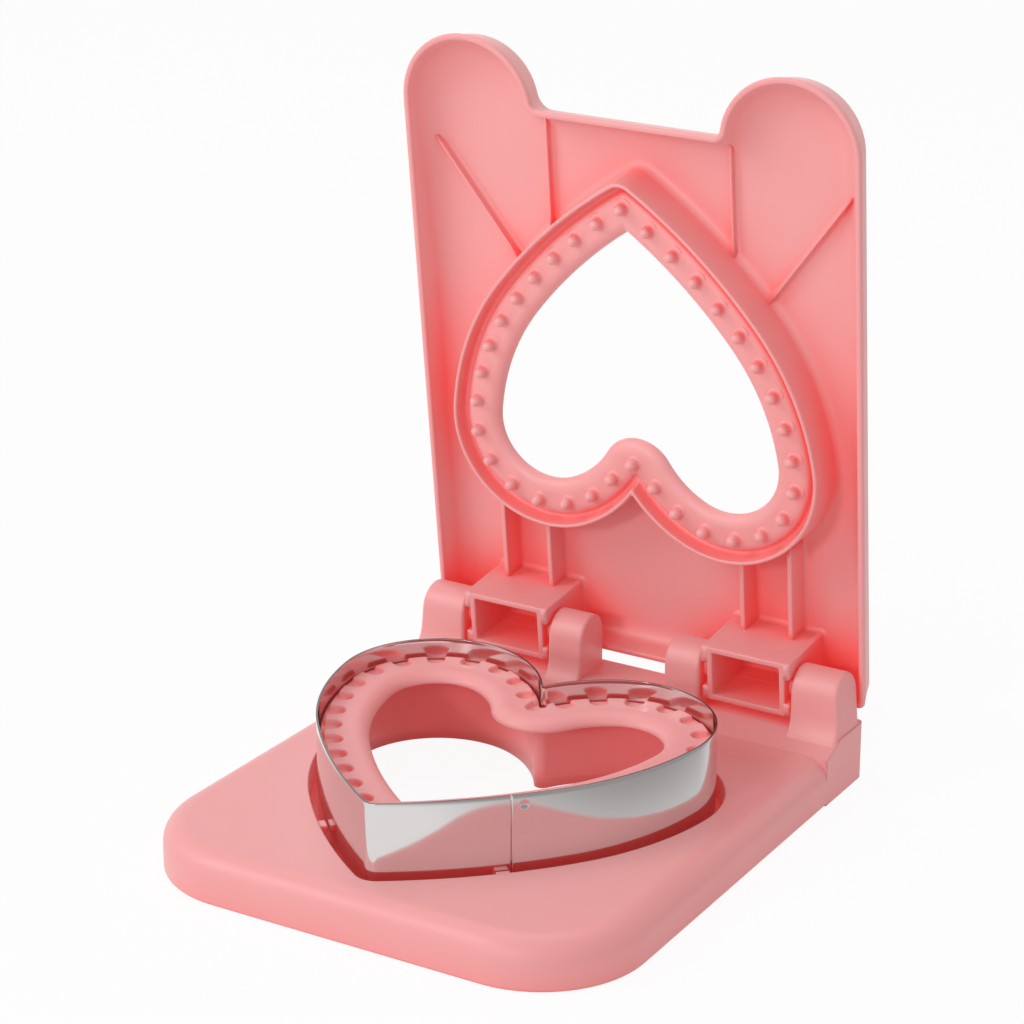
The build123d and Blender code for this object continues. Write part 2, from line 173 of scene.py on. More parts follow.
# Painted shade and painted glow: enclosed places of the plastic take this deeper red as their colour and
# give off a little of it as light. This stands in for light carried through the thin walls into the
# recesses.
painted_recess_red = (0.96, 0.100, 0.090, 1.0)
plastic_index, plastic_sheen, plastic_gloss = 1.53, (0.3, 0.4), (0.34, 0.48)
tint_clouds, gloss_clouds, peel_clouds = (45.0, 2.0), (160.0, 3.0), (1400.0, 3.0)
peel_strength, peel_depth = 0.12, 0.00004


def moulded_plastic(name, colour, deeper, edge, painted_shade_reach, shut, open_from, painted_glow_strength):
    """Satin plastic: two close pinks in soft clouds, with a faint orange peel and uneven gloss.

    How open each place is within painted_shade_reach mixes in painted_recess_red as painted shade: it is
    full at shut and gone at open_from, and painted_glow_strength is the strength of the painted red glow
    where it is full.
    """
    material = bpy.data.materials.new(name)
    material.use_nodes = True
    nodes, links = material.node_tree.nodes, material.node_tree.links
    nodes.clear()
    place = nodes.new("ShaderNodeTexCoord").outputs["Object"]

    def clouds(scale, detail):
        """Noise with so many clouds in a metre."""
        noise = nodes.new("ShaderNodeTexNoise")
        noise.inputs["Scale"].default_value = scale
        noise.inputs["Detail"].default_value = detail
        links.new(place, noise.inputs["Vector"])
        return noise.outputs["Fac"]

    body = nodes.new("ShaderNodeBsdfPrincipled")
    body.inputs["IOR"].default_value = plastic_index
    body.inputs["Sheen Weight"].default_value = plastic_sheen[0]
    body.inputs["Sheen Roughness"].default_value = plastic_sheen[1]
    tint = nodes.new("ShaderNodeMix")
    tint.data_type = "RGBA"
    tint.inputs["A"].default_value = colour
    tint.inputs["B"].default_value = deeper
    links.new(clouds(*tint_clouds), tint.inputs["Factor"])
    # Painted shade: ambient occlusion, how enclosed each place is, turns the colour towards the recess
    # red.
    open_air = nodes.new("ShaderNodeAmbientOcclusion")
    open_air.samples = 6
    open_air.inputs["Distance"].default_value = painted_shade_reach
    openness = nodes.new("ShaderNodeMapRange")
    openness.inputs["From Min"].default_value = shut
    openness.inputs["From Max"].default_value = open_from
    links.new(open_air.outputs["AO"], openness.inputs["Value"])
    depth = nodes.new("ShaderNodeMix")
    depth.data_type = "RGBA"
    depth.inputs["A"].default_value = painted_recess_red
    links.new(tint.outputs["Result"], depth.inputs["B"])
    links.new(openness.outputs["Result"], depth.inputs["Factor"])
    links.new(depth.outputs["Result"], body.inputs["Base Color"])
    # Painted glow: enclosed places emit the recess red, though no lamp is there.
    painted_glow = nodes.new("ShaderNodeMapRange")
    painted_glow.inputs["To Min"].default_value = painted_glow_strength
    painted_glow.inputs["To Max"].default_value = 0.0
    links.new(openness.outputs["Result"], painted_glow.inputs["Value"])
    links.new(painted_glow.outputs["Result"], body.inputs["Emission Strength"])
    body.inputs["Emission Color"].default_value = painted_recess_red
    material.cycles.emission_sampling = "NONE"
    gloss = nodes.new("ShaderNodeMapRange")
    gloss.inputs["To Min"].default_value = plastic_gloss[0]
    gloss.inputs["To Max"].default_value = plastic_gloss[1]
    links.new(clouds(*gloss_clouds), gloss.inputs["Value"])
    links.new(gloss.outputs["Result"], body.inputs["Roughness"])
    peel = nodes.new("ShaderNodeBump")
    peel.inputs["Strength"].default_value = peel_strength
    peel.inputs["Distance"].default_value = peel_depth
    links.new(clouds(*peel_clouds), peel.inputs["Height"])
    if edge:
        soft = nodes.new("ShaderNodeBevel")
        soft.samples = 6
        soft.inputs["Radius"].default_value = edge
        links.new(soft.outputs["Normal"], peel.inputs["Normal"])
    links.new(peel.outputs["Normal"], body.inputs["Normal"])
    links.new(body.outputs[0], nodes.new("ShaderNodeOutputMaterial").inputs["Surface"])
    return material


coral = (0.875, 0.408, 0.412, 1.0)
deep_coral = (0.865, 0.375, 0.378, 1.0)
tray_plastic = moulded_plastic("tray_plastic", coral, deep_coral, 0.0006, 0.020, 0.10, 0.52, 0.10)
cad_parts["base_tray"].data.materials.clear()
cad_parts["base_tray"].data.materials.append(tray_plastic)

# Cutter band
# A strip of polished stainless steel, half a millimetre thick, bent to the heart. Its ends
# meet on the right limb, where a tongue behind the seam is fixed by two spot welds.

heart_turns = (32.2, 51.7, 82.9, 205.5)
heart_radii = (130.261, 64.136, 22.871, 32.258)
heart_steps = (8, 66, 36, 84, 38, 16)
apex_round = 3.0
least_round = 0.6
apex_y = -59.912


def heart_line(grow, fineness=1):
    """Points of the heart's outline moved outward by grow, and the directions that point out of it.

    The right half is a row of arcs, each with its centre, its radius and the turn of its tangent.
    A point lies at the centre plus the radius times (sin turn, -cos turn). A small arc rounds the
    apex, and another the cleft, with their centres on the middle line at the distance where they
    touch the arcs beside them. The left half is the mirror image.
    """
    centres = []
    x = y = 0.0
    for turn, radius in zip(np.radians(heart_turns), heart_radii):
        if centres:
            old_x, old_y, old_radius = centres[-1]
            x, y = old_x + old_radius * np.sin(turn), old_y - old_radius * np.cos(turn)
        centres.append((x - radius * np.sin(turn), y + radius * np.cos(turn), radius))
    first_x, first_y, first_radius = centres[0]
    last_x, last_y, last_radius = centres[-1]
    tip = max(apex_round + grow, least_round)
    tip_y = first_y - np.sqrt((first_radius + grow - tip) ** 2 - first_x ** 2)
    nook = max(-grow, least_round)
    nook_y = last_y + np.sqrt((last_radius + grow + nook) ** 2 - last_x ** 2)
    joins = [0.0, np.arctan2(-first_x, first_y - tip_y), *np.radians(heart_turns[1:])]
    joins += [np.pi + np.arctan2(last_x, nook_y - last_y), np.pi]
    arcs = [(0.0, tip_y, tip)] + [(cx, cy, r + grow) for cx, cy, r in centres] + [(0.0, nook_y, -nook)]
    right = []
    for (cx, cy, r), start, end, steps in zip(arcs, joins[:-1], joins[1:], heart_steps):
        turn = np.linspace(start, end, steps * fineness + 1)[:-1]
        out = np.stack([np.sin(turn), -np.cos(turn)], 1)
        right.append(np.hstack([(cx, cy) + r * out, out]))
    right = np.vstack(right + [[(0.0, nook_y - nook, 0.0, 1.0)]])
    left = right[-2:0:-1] * (-1, 1, -1, 1)
    line = np.vstack([right, left])
    return line[:, :2] + (0.0, apex_y), line[:, 2:]


def grid_faces(rows, columns, wrap_rows, wrap_columns, first):
    """Four-sided faces between neighbouring points of a grid numbered row by row from first."""
    row = np.arange(rows if wrap_rows else rows - 1)[:, None]
    column = np.arange(columns if wrap_columns else columns - 1)[None, :]
    next_row, next_column = (row + 1) % rows, (column + 1) % columns
    corners = (row * columns + column, row * columns + next_column,
               next_row * columns + next_column, next_row * columns + column)
    return first + np.stack([np.broadcast_to(c, corners[1].shape) for c in corners], -1).reshape(-1, 4)


def piece(name, grids, material, body, node):
    """Smooth mesh of closed grids in millimetres. Each grid wraps along its rows and columns as told."""
    points, faces, first = [], [], 0
    for grid, wrap_rows, wrap_columns in grids:
        rows, columns, _ = grid.shape
        points.append(grid.reshape(-1, 3) / 1000.0)
        faces.append(grid_faces(rows, columns, wrap_rows, wrap_columns, first))
        first += rows * columns
    mesh = bpy.data.meshes.new(name)
    mesh.from_pydata(np.vstack(points), [], np.vstack(faces))
    work = bmesh.new()
    work.from_mesh(mesh)
    bmesh.ops.remove_doubles(work, verts=work.verts, dist=2e-7)
    bmesh.ops.dissolve_degenerate(work, edges=work.edges, dist=1e-8)
    bmesh.ops.recalc_face_normals(work, faces=work.faces)
    work.to_mesh(mesh)
    work.free()
    mesh.polygons.foreach_set("use_smooth", np.ones(len(mesh.polygons), bool))
    mesh.materials.append(material)
    thing = bpy.data.objects.new(name, mesh)
    bpy.context.scene.collection.objects.link(thing)
    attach(thing, body)
    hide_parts(node)
    return thing


band_foot, band_top, band_thickness = 6.0, 28.5, 0.5
steel_colour, sheared_colour = (0.70, 0.68, 0.675, 1.0), (0.20, 0.185, 0.185, 1.0)
sheared_depth, steel_gloss = (0.12, 0.04), (0.05, 0.20)
rolling_lines, polish_clouds = (25.0, 25.0, 5200.0), 70.0
grain_strength, grain_depth = 0.05, 0.00001


def polished_steel():
    """Bright rolled steel: level rolling lines, clouds in the polish and a darker sheared top edge."""
    material = bpy.data.materials.new("polished_steel")
    material.use_nodes = True
    nodes, links = material.node_tree.nodes, material.node_tree.links
    nodes.clear()
    body = nodes.new("ShaderNodeBsdfPrincipled")
    body.inputs["Metallic"].default_value = 1.0
    place = nodes.new("ShaderNodeTexCoord").outputs["Object"]
    height = nodes.new("ShaderNodeSeparateXYZ")
    links.new(place, height.inputs["Vector"])
    sheared = nodes.new("ShaderNodeMapRange")
    sheared.inputs["From Min"].default_value = (band_top - sheared_depth[0]) / 1000
    sheared.inputs["From Max"].default_value = (band_top - sheared_depth[1]) / 1000
    links.new(height.outputs["Z"], sheared.inputs["Value"])
    shade = nodes.new("ShaderNodeMix")
    shade.data_type = "RGBA"
    shade.inputs["A"].default_value = steel_colour
    shade.inputs["B"].default_value = sheared_colour
    links.new(sheared.outputs["Result"], shade.inputs["Factor"])
    links.new(shade.outputs["Result"], body.inputs["Base Color"])
    level = nodes.new("ShaderNodeMapping")
    level.inputs["Scale"].default_value = rolling_lines
    links.new(place, level.inputs["Vector"])
    lines = nodes.new("ShaderNodeTexNoise")
    lines.inputs["Scale"].default_value = 1.0
    lines.inputs["Detail"].default_value = 4.0
    links.new(level.outputs["Vector"], lines.inputs["Vector"])
    clouds = nodes.new("ShaderNodeTexNoise")
    clouds.inputs["Scale"].default_value = polish_clouds
    links.new(place, clouds.inputs["Vector"])
    both = nodes.new("ShaderNodeMath")
    both.operation = "MULTIPLY"
    links.new(lines.outputs["Fac"], both.inputs[0])
    links.new(clouds.outputs["Fac"], both.inputs[1])
    gloss = nodes.new("ShaderNodeMapRange")
    gloss.inputs["To Min"].default_value = steel_gloss[0]
    gloss.inputs["To Max"].default_value = steel_gloss[1]
    links.new(both.outputs[0], gloss.inputs["Value"])
    links.new(gloss.outputs["Result"], body.inputs["Roughness"])
    grain = nodes.new("ShaderNodeBump")
    grain.inputs["Strength"].default_value = grain_strength
    grain.inputs["Distance"].default_value = grain_depth
    links.new(lines.outputs["Fac"], grain.inputs["Height"])
    links.new(grain.outputs["Normal"], body.inputs["Normal"])
    links.new(body.outputs[0], nodes.new("ShaderNodeOutputMaterial").inputs["Surface"])
    return material


band_round = 0.1
seam_share = 0.209
seam_gap = 0.3
tongue_reach, tongue_drop = (-3.5, 7.0), 1.2
weld_step = 2.9
welds = ((band_top - 2.4, 1.05, 0.13), (band_top - 9.6, 0.65, 0.07))


def along_heart(places):
    """Point and outward direction at lengths along the band's outline, measured from the seam."""
    line, out = heart_line(0.0, 4)
    closed = np.vstack([line, line[:1]])
    run = np.concatenate([[0.0], np.cumsum(np.hypot(*np.diff(closed, axis=0).T))])
    half = run[len(line) // 2]
    wanted = (places + seam_share * half) % run[-1]
    outs = np.vstack([out, out[:1]])
    point = np.stack([np.interp(wanted, run, closed[:, k]) for k in (0, 1)], 1)
    away = np.stack([np.interp(wanted, run, outs[:, k]) for k in (0, 1)], 1)
    return point, away / np.linalg.norm(away, axis=1)[:, None], run[-1]


def strip(places, outer, inner, top, dented):
    """Upright strip between two depths behind the outline, with rounded edges and closed ends."""
    turn = np.radians(np.arange(0, 91, 30))
    heights = np.concatenate([
        [band_foot + band_round], np.arange(band_foot + 1.0, top - 11.2, 1.0),
        np.arange(top - 11.0, top - 0.9, 0.22), [top - band_round],
    ])
    leaving, arriving = band_round * (1 - np.cos(turn)), band_round * (1 - np.sin(turn))
    depth = [outer + 0 * heights, outer + leaving, inner - arriving]
    depth += [inner + 0 * heights[::-1], inner - leaving, outer + arriving]
    height = [heights, top - arriving, top - leaving]
    height += [heights[::-1], band_foot + arriving, band_foot + leaving]
    depth, height = np.concatenate(depth), np.concatenate(height)
    point, away, _ = along_heart(places)
    depth = np.tile(depth, (len(places), 1))
    if dented:
        front = np.arange(depth.shape[1]) < len(heights)
        for weld, radius, hollow in welds:
            near = np.hypot(places[:, None] - weld_step, height[None, :] - weld) / radius
            depth = depth + hollow * np.clip(1 - near ** 2, 0, 1) ** 1.5 * front
    flat = point[:, None, :] - away[:, None, :] * depth[:, :, None]
    solid = np.concatenate([flat, np.broadcast_to(height[None, :, None], flat.shape[:2] + (1,))], 2)
    ends = [solid[k].mean(0)[None, None, :].repeat(solid.shape[1], 1) for k in (0, -1)]
    return np.concatenate([ends[0], solid, ends[1]]), False, True


_, _, band_length = along_heart(np.zeros(1))
near_seam = np.arange(seam_gap / 2, 6.0, 0.2)
round_heart = np.linspace(6.0, band_length - 6.0, 900)
band_places = np.concatenate([near_seam, round_heart, band_length - near_seam[::-1]])
tongue_places = np.linspace(*tongue_reach, 40)
steel = polished_steel()
piece(
    "steel_band",
    [strip(band_places, 0.0, band_thickness, band_top, True),
     strip(tongue_places, band_thickness, 2 * band_thickness, band_top - tongue_drop, False)],
    steel, "base", "cutter_band",
)

# Seal ring
# A pink moulding that stands inside the band: a thin skirt and a broad rounded roof. Notches
# with a small pit run round its outer edge, one under each stud of the lid.

ring_foot, ring_top = 6.0, 24.6
skirt_outer, skirt_inner, skirt_tail = 0.8, 2.05, 3.7
roof_under = 21.9
hole_inset = 11.8
roll_start, roll_drop = 7.6, 2.5
stud_inset = 4.2
stud_steps = 17
notch_half, notch_depth, notch_soft, notch_centre = 2.0, 1.2, 0.5, 0.6
pit_radius, pit_extra = 1.6, 0.5


def stud_places():
    """Point and outward direction of the studs: equal steps along the outline at their inset."""
    line, out = heart_line(-stud_inset, 4)
    half = len(line) // 2 + 1
    run = np.concatenate([[0.0], np.cumsum(np.hypot(*np.diff(line[:half], axis=0).T))])
    wanted = np.linspace(0, run[-1], stud_steps + 1)
    right = np.stack([np.interp(wanted, run, part[:half, k]) for part in (line, out) for k in (0, 1)], 1)
    return np.vstack([right, right[1:-1] * (-1, 1, -1, 1)])


def ring_rows():
    """Inset and height of the ring's section, from the foot of the skirt round to its inside."""
    crown = np.arange(2.0, roll_start, 0.26)
    roll = np.radians(np.linspace(0, 90, 11))
    inset = [[skirt_outer] * 5, [0.86, 1.0, 1.25, 1.5, 1.56, 1.6, 1.68, 1.8]]
    height = [[ring_foot, 12.0, 17.0, 21.0, 23.1], [23.3, 23.4, 23.42, 23.5, 23.75, 24.2, 24.45, 24.58]]
    inset += [crown, roll_start + (hole_inset - roll_start) * np.sin(roll)]
    height += [ring_top + 0 * crown, ring_top - roll_drop * (1 - np.cos(roll))]
    inset += [[11.72, 11.5, 10.5, 7.0, 4.0, 2.7, 2.3, 2.1], [skirt_inner] * 5, [1.93] * 2]
    height += [[21.97] + [roof_under] * 5 + [21.8, 21.5], [20.5, 17.0, 13.0, 9.0, skirt_tail]]
    height += [[skirt_tail, ring_foot]]
    return np.concatenate(inset), np.concatenate(height)


insets, heights = ring_rows()
grid = np.stack([np.hstack([heart_line(-inset, 2)[0], np.full((2 * sum(heart_steps) * 2, 1), height)])
                 for inset, height in zip(insets, heights)])
crown = (insets > 1.55) & (insets < 8.5) & (heights > 23.45)
top = grid[crown]
inside = np.full(top.shape[:2], -9.0)
pit = np.zeros(top.shape[:2])
for x, y, out_x, out_y in stud_places():
    dx, dy = top[..., 0] - x, top[..., 1] - y
    along, outward = dx * out_y - dy * out_x, dx * out_x + dy * out_y
    past = np.minimum(outward - notch_centre, 0)
    reach = notch_half - np.hypot(along, past)
    inside = np.maximum(inside, np.where(outward < 3.4, reach, -9.0))
    pit = np.maximum(pit, np.clip(1 - (np.hypot(along, outward) / pit_radius) ** 2, 0, 1))
blend = np.clip(inside / notch_soft + 0.5, 0, 1)
blend = blend * blend * (3 - 2 * blend)
sink = notch_depth * blend + pit_extra * pit * blend
deepest = np.minimum(top[..., 2], ring_top - notch_depth - pit_extra * pit)
top[..., 2] = np.maximum(top[..., 2] - sink, deepest)
grid[crown] = top
ring_plastic = moulded_plastic("ring_plastic", coral, deep_coral, 0.0, 0.034, 0.10, 0.74, 0.03)
piece("notched_ring", [(grid, True, True)], ring_plastic, "base", "seal_ring")

# Lid
# One pink moulding like a shallow tray, with two round ears at its free end. Its back carries
# a heart-shaped press ring with a lip, a groove for the band, a web and a row of studs.

axis_y, axis_z = 54.78809, 23.0
lean = np.radians(-6.2)
lid_side, lid_ear_x, lid_ear_h, lid_ear_radius = 57.7, 41.1, 127.6, 17.2
lid_foot_h, lid_top_h, lid_nook_round = -6.6, 129.0, 2.0
rim_n, floor_n, back_n = -5.7, -13.3, -15.1
draft = np.radians(16.0)
rim_wall, rim_round = 1.5, 0.6
corner_low, corner_high = 1.6, 3.6
back_round = 3.4


def lid_space(x, h, n):
    """Points of the lid in the room: h is the height up it from the hinge axis, n the reach in front."""
    y = axis_y + h * np.sin(lean) - n * np.cos(lean)
    z = axis_z + h * np.cos(lean) + n * np.sin(lean)
    return np.stack(np.broadcast_arrays(x, y, z), -1)


# Where each point of the heart looks along the lid's outline: whole numbers are the joints of
# top edge, nook, ear, side, hinge corner and hinge edge.
outline_share = np.interp(
    np.arange(sum(heart_steps) + 1),
    (0, 38, 52, 80, 96, 108, 132, 146, 162, 176, 194, 232, 248),
    (0.0, 1.0, 2.0, 3.0, 3.46, 3.573, 3.708, 4.0, 5.0, 5.25, 5.55, 5.93, 6.0),
)
# The dish is scooped out widely in the ears and turns up more tightly beside the press ring.
floor_round = np.interp(
    outline_share,
    (0.0, 0.8, 1.5, 2.0, 3.0, 3.12, 3.3, 6.0),
    (3.6, 4.2, 6.5, 8.0, 8.0, 6.5, 4.1, 4.1),
)


def lid_outline(side_inset, foot_inset, corner):
    """Outline of the lid drawn in by the insets: straight edges joined by arcs that touch them."""
    radius = lid_ear_radius - side_inset
    side, foot, top = lid_side - side_inset, lid_foot_h + foot_inset, lid_top_h - side_inset
    nook = lid_nook_round + side_inset
    reach = np.hypot(lid_ear_x - side, lid_ear_h - foot)
    course = np.arctan2(lid_ear_h - foot, lid_ear_x - side) - np.arcsin(radius / reach)
    run = np.sqrt(reach ** 2 - radius ** 2)
    nook_h = top + nook
    nook_x = lid_ear_x - np.sqrt((radius + nook) ** 2 - (nook_h - lid_ear_h) ** 2)
    meet = np.arctan2(nook_h - lid_ear_h, nook_x - lid_ear_x)
    cut = corner * np.tan(course / 2)
    joint, f = np.divmod(np.minimum(outline_share, 5.999999), 1.0)
    top_edge = np.stack([nook_x * f, top + 0 * f], 1)
    angle = -np.pi / 2 + f * (meet - np.pi / 2)
    nook_arc = np.stack([nook_x + nook * np.cos(angle), nook_h + nook * np.sin(angle)], 1)
    angle = meet + f * (course - np.pi / 2 - meet)
    ear_arc = np.stack([lid_ear_x + radius * np.cos(angle), lid_ear_h + radius * np.sin(angle)], 1)
    down = run + f * (cut - run)
    side_edge = np.stack([side + down * np.cos(course), foot + down * np.sin(course)], 1)
    angle = course - np.pi / 2 - f * course
    corner_x, corner_h = side - cut, foot + corner
    corner_arc = np.stack([corner_x + corner * np.cos(angle), corner_h + corner * np.sin(angle)], 1)
    foot_edge = np.stack([(side - cut) * (1 - f), foot + 0 * f], 1)
    every = np.stack([top_edge, nook_arc, ear_arc, side_edge, corner_arc, foot_edge])
    right = every[joint.astype(int), np.arange(len(f))]
    right[-1, 0] = 0.0
    return np.vstack([right, right[-2:0:-1] * (-1, 1)])


def quarter(start, end, steps):
    """Angles of an arc in equal steps."""
    return np.radians(np.linspace(start, end, steps))


def heart_on_lid(grow, n):
    """Heart outline on the lid, upside down as it folds over, moved outward by grow."""
    line, _ = heart_line(grow)
    return lid_space(line[:, 0], axis_y - line[:, 1], n)


foot_round, lip_outer, lip_inner, lip_n, lip_round = 2.1, 1.95, 0.8, -2.2, 0.42
groove_n, tube_inner, press_n, web_back_n, tube_back_n = -5.9, -2.6, -4.0, -6.6, -7.7
press_hole, roll_width, roll_depth = -9.5, 3.2, 2.45
ring_line = []
for a in quarter(0, 90, 7):
    ring_line.append((lip_outer + foot_round * (1 - np.sin(a)), floor_n + foot_round * (1 - np.cos(a))))
ring_line += [(lip_outer, -9.5), (lip_outer - 0.05, -6.5), (lip_outer - 0.12, -3.6)]
for a in quarter(0, 90, 6):
    drawn, sunk = lip_round * (1 - np.cos(a)), lip_round * (1 - np.sin(a))
    ring_line.append((lip_outer - 0.15 - drawn, lip_n - sunk))
for a in quarter(0, 90, 6):
    ring_line.append((lip_inner + 0.1 + lip_round * (1 - np.sin(a)), lip_n - lip_round * (1 - np.cos(a))))
ring_line += [(0.86, -3.2), (0.80, -3.9), (0.72, -4.5), (0.62, -5.0), (0.48, -5.42)]
ring_line += [(0.28, -5.72), (0.0, -5.87)]
ring_line += [(-0.3, groove_n), (-0.58, -5.78), (-0.76, -5.5), (-0.88, -5.2), (-1.02, -4.93)]
ring_line += [(-1.2, -4.7), (-1.5, -4.45)]
ring_line += [(-1.9, -4.25), (-2.5, -4.08), (-3.2, press_n), (-4.2, press_n), (-5.3, press_n)]
for a in quarter(0, 90, 12):
    ring_line.append((press_hole + roll_width * (1 - np.sin(a)), press_n - roll_depth * (1 - np.cos(a))))
ring_line += [(grow, web_back_n) for grow in (press_hole + 0.1, press_hole + 0.6, -6.0, -3.0)]
ring_line += [(tube_inner, -6.75), (tube_inner, -7.5)]
ring_line += [(grow, tube_back_n) for grow in (-2.45, -1.8, 0.4)]
ring_line += [(0.65, -7.85), (lip_inner, -8.3), (lip_inner, -11.0), (lip_inner, -14.2)]
for a in quarter(0, 90, 4):
    ring_line.append((lip_inner + 0.5 * (1 - np.cos(a)), back_n + 0.5 * (1 - np.sin(a))))
press_rows = [heart_on_lid(grow, n) for grow, n in ring_line]

edge_line = []
tangent = floor_round * np.tan((np.pi / 2 - draft) / 2)
back_tangent = back_round * np.tan((np.pi / 2 - draft) / 2)
back_corner = (rim_n - back_n) * np.tan(draft)
floor_corner = rim_wall + (rim_n - floor_n) * np.tan(draft)
for a in np.linspace(0, 1, 9):
    turn = a * (np.pi / 2 - draft)
    side_inset = back_corner + back_tangent - back_round * np.sin(turn)
    foot_inset = back_round * (1 - np.sin(a * np.pi / 2))
    edge_line.append((side_inset, foot_inset, back_n + back_round * (1 - np.cos(turn))))
edge_line.append((3.2 * np.tan(draft), 0.0, rim_n - 3.2))
for a in quarter(0, 90, 6):
    drawn = rim_round * (1 - np.cos(a))
    edge_line.append((drawn, drawn, rim_n - rim_round * (1 - np.sin(a))))
for a in quarter(0, 90, 6):
    drawn = rim_wall - rim_round * (1 - np.sin(a))
    edge_line.append((drawn, drawn, rim_n - rim_round * (1 - np.cos(a))))
edge_line.append((rim_wall + 1.2 * np.tan(draft), rim_wall, rim_n - 1.2))
for a in np.linspace(1, 0, 13):
    turn = a * (np.pi / 2 - draft)
    side_inset = floor_corner + tangent - floor_round * np.sin(turn)
    foot_inset = rim_wall + floor_round * (1 - np.sin(a * np.pi / 2))
    edge_line.append((side_inset, foot_inset, floor_n + floor_round * (1 - np.cos(turn))))
edge_rows = []
for side_inset, foot_inset, n in edge_line:
    n = np.broadcast_to(n, outline_share.shape)
    corner = np.interp(n, (floor_n, rim_n), (corner_high, corner_low))
    line = lid_outline(side_inset, foot_inset, corner)
    edge_rows.append(lid_space(line[:, 0], line[:, 1], np.concatenate([n, n[-2:0:-1]])))


def between(start, end, steps):
    """Straight rows between two outlines, without the outlines themselves."""
    return [start + (end - start) * k / (steps + 1) for k in range(1, steps + 1)]


lid_rows = press_rows + between(press_rows[-1], edge_rows[0], 5)
lid_rows += edge_rows + between(edge_rows[-1], press_rows[0], 5)
lid_grids = [(np.stack(lid_rows), True, True)]

# Studs of the press ring: blunt pegs moulded with it, each with a rounded tip and a small flare
# at its root.

stud_radius, stud_tip_n, stud_flare = 1.32, -1.0, 0.75
stud_root = stud_radius + stud_flare
stud_line = [(stud_root + 0.3, press_n - 0.5), (stud_root + 0.3, press_n - 0.16)]
stud_line += [(stud_root + 0.1, press_n - 0.1)]
for a in quarter(0, 90, 7):
    stud_line.append((stud_root - stud_flare * np.sin(a), press_n - 0.05 + stud_flare * (1 - np.cos(a))))
for a in quarter(0, 90, 7):
    stud_line.append((stud_radius * np.cos(a), stud_tip_n - stud_radius * (1 - np.sin(a))))
stud_radii, stud_n = np.array(stud_line).T
around = np.radians(np.arange(0, 360, 20))
for x, y, _, _ in stud_places():
    wide = stud_radii[:, None]
    stud_x, stud_h = x + wide * np.cos(around), axis_y - y + wide * np.sin(around)
    lid_grids.append((lid_space(stud_x, stud_h, stud_n[:, None]), False, True))

# Hinge boxes of the lid: two hollow boxes, open to the front, with a slotted pad on each side
# that snaps over the stubs of the lugs.

box_x, box_h, box_wall, box_front_n = (22.3, 42.5), (-6.6, 7.2), 1.4, 4.8
box_deep_n = -11.3
box_round, box_floor_round = 0.35, 0.9
pad_thickness, pad_round, seat_radius, mouth_half = 1.4, 0.45, 3.0, 3.2


def rectangle(x, h, corner, per_side=6, per_corner=6):
    """Rectangle with round corners: each corner's arc about its centre, then the side after it."""
    (x0, x1), (h0, h1) = x, h
    corner = max(corner, 0.02)
    left, right, low, high = x0 + corner, x1 - corner, h0 + corner, h1 - corner
    centres = ((right, high), (left, high), (left, low), (right, low))
    points = []
    for k, (cx, ch) in enumerate(centres):
        angle = np.radians(np.linspace(90 * k, 90 * k + 90, per_corner))
        arc = np.stack([cx + corner * np.cos(angle), ch + corner * np.sin(angle)], 1)
        nx, nh = centres[(k + 1) % 4]
        start = arc[-1]
        end = np.array([nx + corner * np.cos(angle[-1]), nh + corner * np.sin(angle[-1])])
        side = start + (end - start) * np.linspace(0, 1, per_side)[1:-1, None]
        points += [arc, side]
    return np.vstack(points)


def box_grid(x, h, side):
    """Box wall in section: up the outside, over the rim, down the inside and across the floor."""
    rows = [(0.0, floor_n - 0.5), (0.0, -8.0), (0.0, -2.0), (0.0, box_front_n - 0.9)]
    turned = [(1 - np.cos(a), 1 - np.sin(a)) for a in quarter(0, 90, 5)]
    rows += [(-box_round * c, box_front_n - box_round * s) for c, s in turned]
    rows += [(-box_wall + box_round * s, box_front_n - box_round * c) for c, s in turned]
    rows += [(-box_wall, 2.0), (-box_wall, -4.0), (-box_wall, box_deep_n + 1.6)]
    rows += [(-box_wall - box_floor_round * c, box_deep_n + box_floor_round * s) for c, s in turned]
    rows += [(-box_wall - 2.0, box_deep_n), (-5.0, box_deep_n), (-6.89, box_deep_n)]
    grid = []
    for grow, n in rows:
        corner = 0.02 + max(-grow, 0) * 0.3
        line = rectangle((x[0] - grow, x[1] + grow), (h[0] - grow, h[1] + grow), corner)
        grid.append(lid_space(side * line[:, 0], line[:, 1], n))
    first = np.broadcast_to(grid[0].mean(0), grid[0].shape)
    return np.stack([first] + grid), False, True


def fillet_bead(x, h, side, foot=1.2):
    """Hollow-faced bead round the foot of a box, from the lid's floor up the box's wall."""
    rows = [(foot + 0.9, floor_n - 0.07), (foot + 0.6, floor_n - 0.05), (foot + 0.3, floor_n - 0.035)]
    for a in quarter(0, 90, 12):
        rows.append((foot * (1 - np.sin(a)), floor_n - 0.02 + foot * (1 - np.cos(a))))
    rows += [(-0.02, floor_n + foot + 0.5), (-0.5, floor_n + foot + 0.8)]
    rows += [(-0.5, floor_n - 0.6), (foot + 0.9, floor_n - 0.6)]
    grid = []
    for grow, n in rows:
        line = rectangle((x[0] - grow, x[1] + grow), (h[0] - grow, h[1] + grow), 0.8 + max(grow, -0.5))
        line[:, 1] = np.maximum(line[:, 1], lid_foot_h + 0.4)
        grid.append(lid_space(side * line[:, 0], line[:, 1], n))
    return np.stack(grid), True, True


